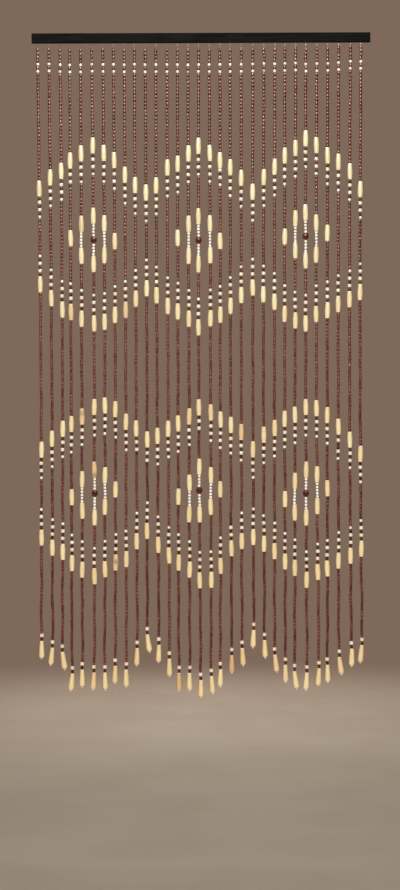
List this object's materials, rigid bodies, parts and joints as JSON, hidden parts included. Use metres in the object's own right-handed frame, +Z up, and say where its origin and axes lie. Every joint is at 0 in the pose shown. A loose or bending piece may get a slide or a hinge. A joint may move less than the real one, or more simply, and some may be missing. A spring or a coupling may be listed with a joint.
{
  "type": "bead curtain with hanging rail",
  "caption": "Doorway curtain of beaded strings under a plain batten, with two rows of diamonds in long turned beads and a drop at each string's foot.",
  "frame": {"origin": "middle of the rail's flat back face", "axes": "+Z up along the strings, +X along the rail to the viewer's right, +Y out of the rail's back face, so the front faces -Y"},
  "size_m": [0.9, 0.02, 1.7788],
  "materials": {
    "rail_black": "black paint, matt",
    "bead_red": "dark red-brown lacquer",
    "bead_black": "black-brown stain, satin",
    "bead_pale": "pale wood, clear satin varnish",
    "bead_white": "glossy off-white",
    "bead_dark_red": "glossy dark red",
    "thread": "twisted thread, pinkish grey"
  },
  "bodies": {
    "root": {"rail": "rail_black", "strings": "bead_red"}
  },
  "joints": []
}
